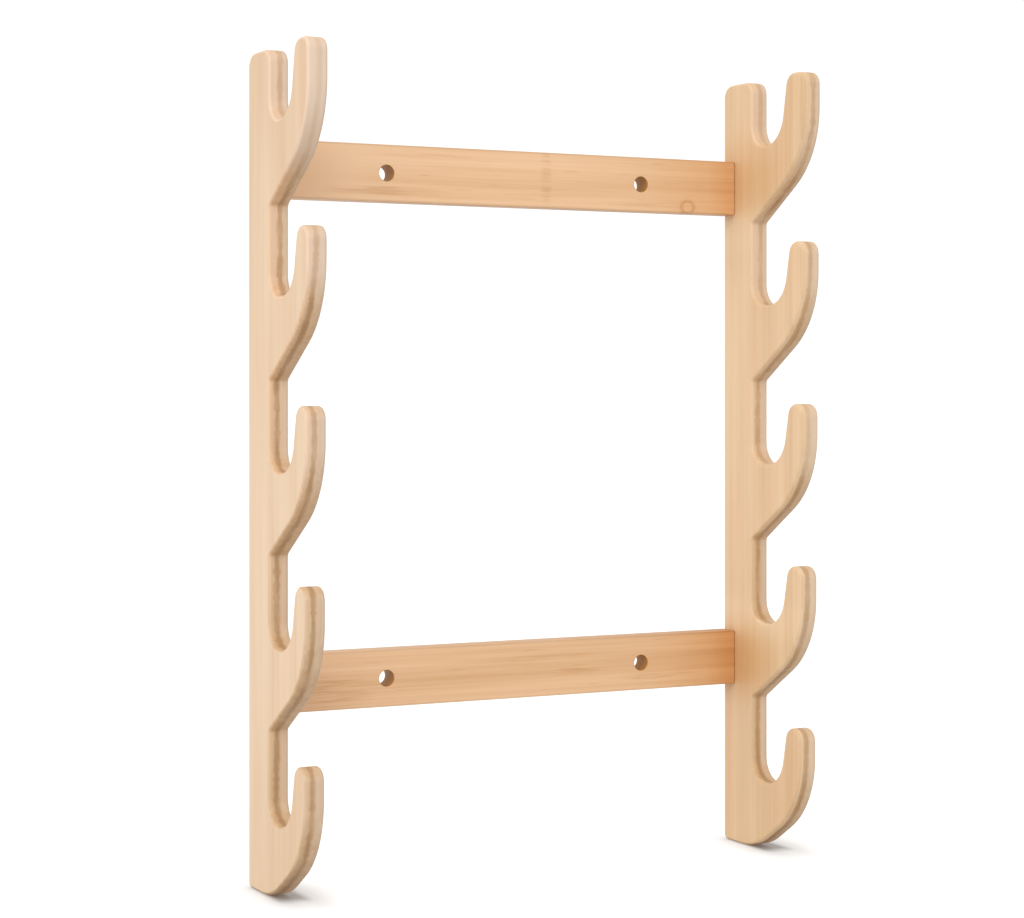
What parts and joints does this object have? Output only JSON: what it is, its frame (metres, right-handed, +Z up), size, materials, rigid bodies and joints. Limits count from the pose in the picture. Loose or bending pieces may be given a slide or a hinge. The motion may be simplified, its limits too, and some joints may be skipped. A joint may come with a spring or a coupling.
{
  "type": "fishing rod wall rack",
  "caption": "Bamboo wall display rack: hooked upright boards joined by drilled cross rails, holding fishing rods level in open slots.",
  "frame": {"origin": "middle of the wall screw holes' rectangle, on the wall plane that the rack's back lies on", "axes": "+X along the rails to the viewer's right, +Y into the wall, so hooks reach towards -Y, +Z up"},
  "size_m": [0.338, 0.0925, 0.485],
  "materials": {
    "bracket_bamboo": "clear satin lacquer over pale laminated bamboo",
    "rail_bamboo": "clear satin lacquer over honey-coloured bamboo",
    "dowel_wood": "plain turned hardwood"
  },
  "bodies": {
    "root": {"left_bracket": "bracket_bamboo", "right_bracket": "bracket_bamboo", "upper_rail": "rail_bamboo", "lower_rail": "rail_bamboo", "dowel_upper_left_high": "dowel_wood", "dowel_upper_left_low": "dowel_wood", "dowel_upper_right_high": "dowel_wood", "dowel_upper_right_low": "dowel_wood", "dowel_lower_left_high": "dowel_wood", "dowel_lower_left_low": "dowel_wood", "dowel_lower_right_high": "dowel_wood", "dowel_lower_right_low": "dowel_wood"}
  },
  "joints": []
}
